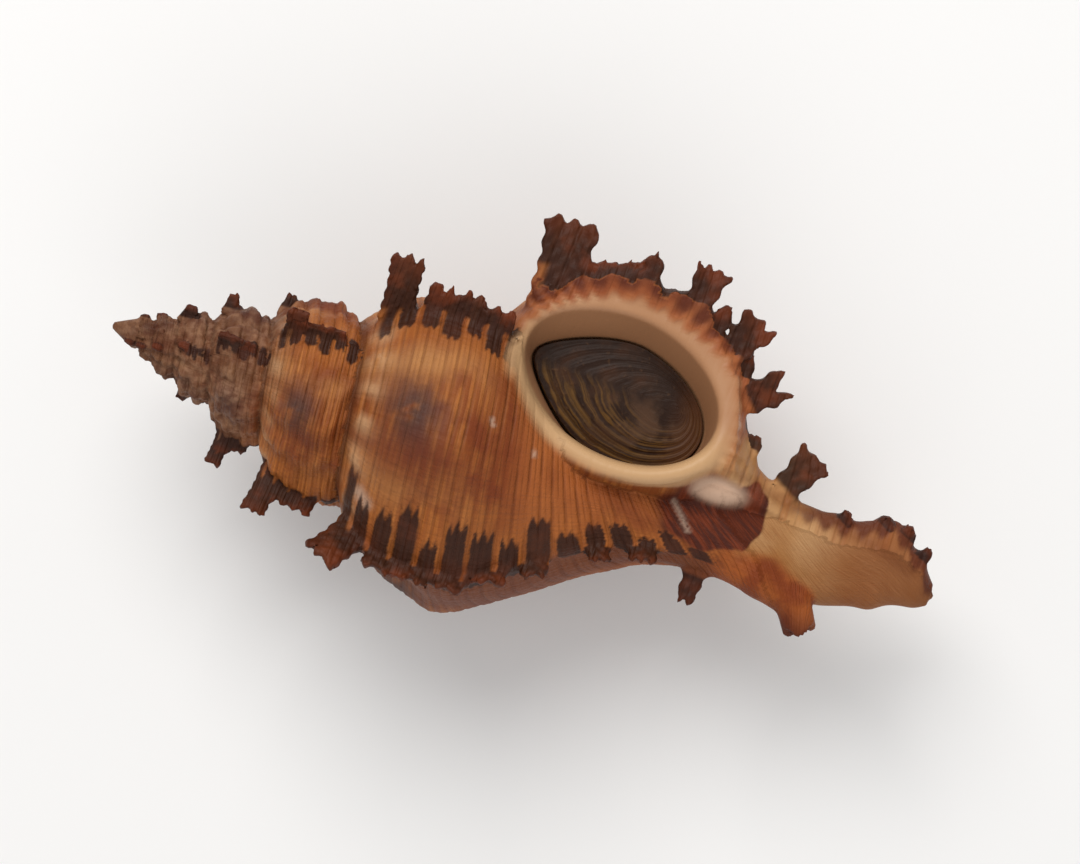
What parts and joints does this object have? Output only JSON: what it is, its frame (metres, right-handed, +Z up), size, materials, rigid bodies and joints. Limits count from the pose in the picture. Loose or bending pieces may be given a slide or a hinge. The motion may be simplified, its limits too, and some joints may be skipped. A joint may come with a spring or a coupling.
{
  "type": "murex shell with operculum",
  "caption": "Frondose murex sea shell lying aperture up, with spiny varices, a long siphonal canal and a horny plate closing the aperture.",
  "frame": {"origin": "centre of the bounding box at the bottom, on the worn flats that the shell lies on", "axes": "+X along the coiling axis from the spire to the end of the siphonal canal, +Z up out of the aperture"},
  "size_m": [0.0904, 0.0444, 0.0368],
  "materials": {
    "shell_lime": "satin",
    "horn_plate": "satin"
  },
  "bodies": {
    "root": {"shell": "shell_lime", "operculum": "horn_plate"}
  },
  "joints": []
}
